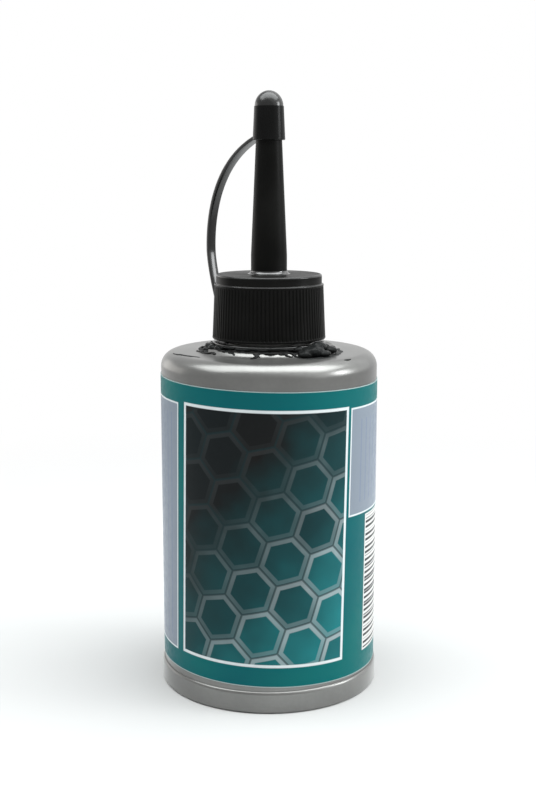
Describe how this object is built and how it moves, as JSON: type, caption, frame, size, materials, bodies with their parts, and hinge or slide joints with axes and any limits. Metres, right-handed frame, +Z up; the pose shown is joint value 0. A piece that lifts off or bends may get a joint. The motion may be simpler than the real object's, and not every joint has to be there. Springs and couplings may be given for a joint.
{
  "type": "lubricant applicator bottle",
  "caption": "Round silver squeeze bottle of graphite lock lubricant with a ribbed black screw closure, a long tapering spout and a tip cap tethered by a strap.",
  "frame": {"origin": "centre of the standing ring, on the surface that the bottle stands on", "axes": "+Z up along the bottle's axis to the tip cap; -Y is the front of the label; the strap leaves behind -X"},
  "size_m": [0.0428, 0.0428, 0.1151],
  "materials": {
    "bottle_plastic": "satin silver-pigmented blown polyethylene",
    "lubricant": "graphite grease, dark grey with a metallic sheen",
    "label_film": "printed film, semi-gloss",
    "closure_plastic": "black moulded polypropylene",
    "seal_foam": "fine closed-cell foam",
    "tether_plastic": "black moulded polyethylene"
  },
  "bodies": {
    "bottle": {"bottle": "bottle_plastic", "lubricant_fill": "lubricant", "label": "label_film"},
    "washer": {"seal_washer": "seal_foam"},
    "closure": {"closure": "closure_plastic"},
    "tether": {"tether_ring": "tether_plastic", "tether_strap": "tether_plastic"},
    "cap": {"tip_cap": "tether_plastic"}
  },
  "joints": [
    {"name": "closure_lift", "type": "slide", "parent": "bottle", "child": "washer", "axis": [0, 0, 1], "range_m": [0, 0.0127]},
    {"name": "closure_turn", "type": "hinge", "parent": "washer", "child": "closure", "pos_m": [0, 0, 0.0684], "axis": [0, 0, 1], "range_deg": [0, 1440.1]},
    {"name": "tether_swivel", "type": "hinge", "parent": "closure", "child": "tether", "pos_m": [0, 0, 0.06715], "axis": [0, 0, 1], "continuous": true},
    {"name": "cap_pull", "type": "slide", "parent": "tether", "child": "cap", "axis": [0, 0, 1], "range_m": [0, 0.0067], "deforming": ["tether_strap"]}
  ],
  "couplings": [
    {"joint": "closure_turn", "follows": "closure_lift", "rad_per_m": 1979}
  ]
}
